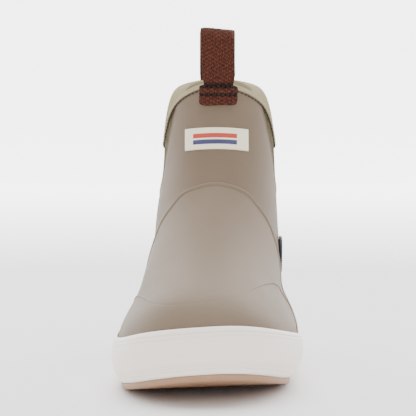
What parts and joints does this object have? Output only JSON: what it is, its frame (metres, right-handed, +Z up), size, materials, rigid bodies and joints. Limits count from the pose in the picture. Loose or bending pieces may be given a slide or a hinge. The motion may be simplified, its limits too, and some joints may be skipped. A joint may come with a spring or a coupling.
{
  "type": "deck boot",
  "caption": "Ankle-high pull-on deck boot for the left foot: rubber upper over a neoprene bootie, side gores, white foxing, gum sole and webbing pull loops that fold.",
  "frame": {"origin": "centre of the boot's footprint box, on the ground", "axes": "+Z up; +Y along the foot from toe to heel, so the toe points to -Y; +X towards the outer (little-toe) side of the left foot"},
  "size_m": [0.1138, 0.3, 0.2122],
  "materials": {
    "gum_rubber": "matte gum rubber with moulded chevrons",
    "white_foam": "closed-cell foam",
    "board": "stiff fibre board",
    "footbed_foam": "moulded foam",
    "lining_knit": "fine khaki knit",
    "white_rubber": "warm white matte rubber",
    "neoprene": "foamed sheet",
    "rubber_light": "satin taupe rubber",
    "rubber_taupe": "satin taupe rubber",
    "gore_knit": "ribbed stretch knit",
    "binding_tape": "folded knit tape",
    "thread": "waxed polyester thread",
    "label_woven": "cream woven label, plain",
    "navy_rubber": "satin navy rubber",
    "webbing": "coarse brown webbing"
  },
  "bodies": {
    "boot": {"outsole": "gum_rubber", "midsole": "white_foam", "lasting_board": "board", "footbed": "footbed_foam", "footbed_cover": "lining_knit", "foxing_band": "white_rubber", "lining": "lining_knit", "neoprene_bootie": "neoprene", "toe_cap": "rubber_light", "vamp_overlay": "rubber_light", "heel_overlay": "rubber_light", "toe_reinforcement": "board", "heel_reinforcement": "board", "rubber_shell": "rubber_taupe", "lateral_gore": "gore_knit", "medial_gore": "gore_knit", "collar_binding": "binding_tape", "collar_thread": "thread", "front_label": "label_woven", "badge_rim": "navy_rubber", "badge_inlay": "navy_rubber", "front_loop_tab": "webbing", "front_loop_inner_tab": "webbing", "front_loop_stitching": "thread", "rear_loop_tab": "webbing", "rear_loop_inner_tab": "webbing", "rear_loop_stitching": "thread"},
    "front_pull": {"front_loop": "webbing"},
    "rear_pull": {"rear_loop": "webbing"}
  },
  "joints": [
    {"name": "front_loop_fold", "type": "hinge", "parent": "boot", "child": "front_pull", "pos_m": [0.004, 0.021, 0.17795], "axis": [1, 0, 0], "range_deg": [0, 90], "stiffness_Nm_per_rad": 0.012},
    {"name": "rear_loop_fold", "type": "hinge", "parent": "boot", "child": "rear_pull", "pos_m": [0.00295, 0.13865, 0.17665], "axis": [-1, 0, 0], "range_deg": [0, 90], "stiffness_Nm_per_rad": 0.012}
  ]
}
